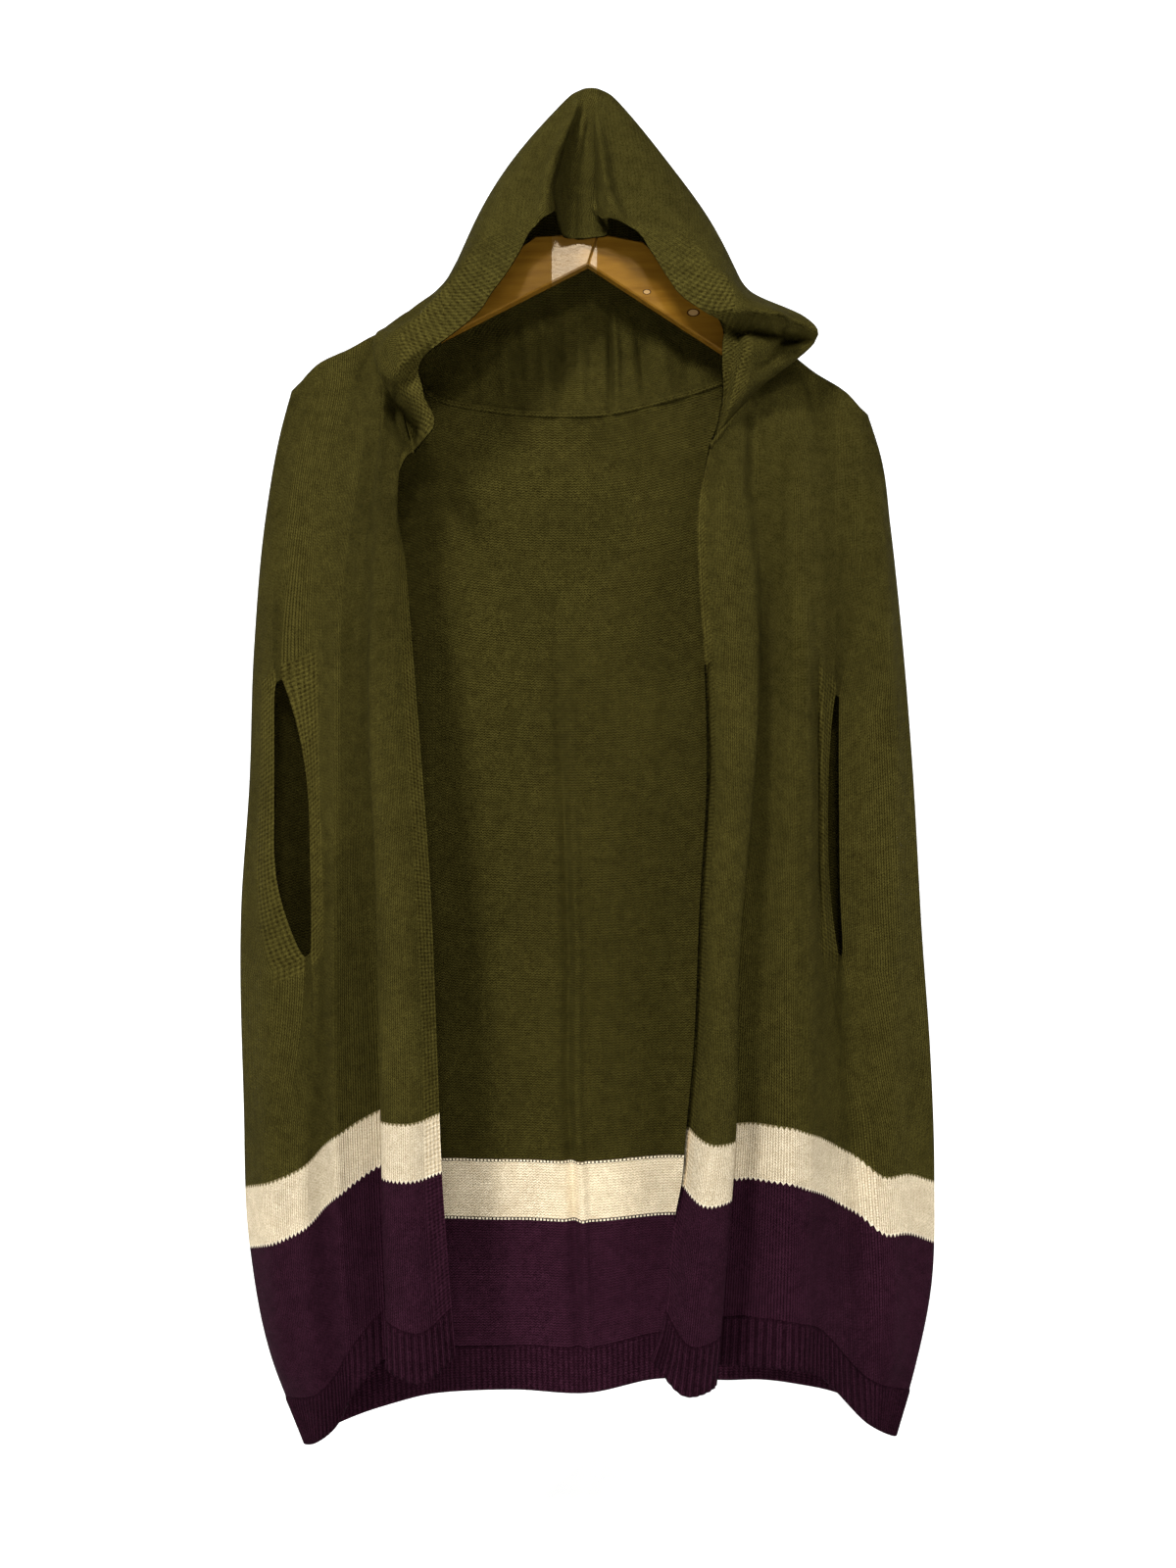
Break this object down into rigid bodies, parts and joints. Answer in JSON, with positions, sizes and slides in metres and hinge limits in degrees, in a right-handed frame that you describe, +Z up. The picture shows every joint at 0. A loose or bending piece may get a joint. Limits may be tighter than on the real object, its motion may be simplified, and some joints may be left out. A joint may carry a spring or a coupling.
{
  "type": "hooded poncho",
  "caption": "Open-fronted hooded knitted poncho with arm slits, a pale stripe and a dark ribbed hem, hung on a flat wooden hanger.",
  "frame": {"origin": "inside top of the hook's crook, where a rail or peg carries the hanger", "axes": "+Z up, the open front faces -Y, +X to the right of someone facing the open front"},
  "size_m": [0.5578, 0.124, 1.0855],
  "materials": {
    "olive_knit": "matt fine wool knit, olive green, slight nap",
    "cream_knit": "matt fine wool knit, cream, slight nap",
    "plum_knit": "matt fine wool knit, dark plum, slight nap",
    "hanger_wood": "honey-coloured softwood under gloss varnish",
    "hook_steel": "bright plated steel wire"
  },
  "bodies": {
    "root": {"front_left_olive": "olive_knit", "front_left_cream": "cream_knit", "front_left_plum": "plum_knit", "front_left_rib": "plum_knit", "front_right_olive": "olive_knit", "front_right_cream": "cream_knit", "front_right_plum": "plum_knit", "front_right_rib": "plum_knit", "back_olive": "olive_knit", "back_cream": "cream_knit", "back_plum": "plum_knit", "back_rib": "plum_knit", "hood_left": "olive_knit", "hood_right": "olive_knit", "hanger_arm_left": "hanger_wood", "hanger_arm_right": "hanger_wood", "hook": "hook_steel"}
  },
  "joints": []
}
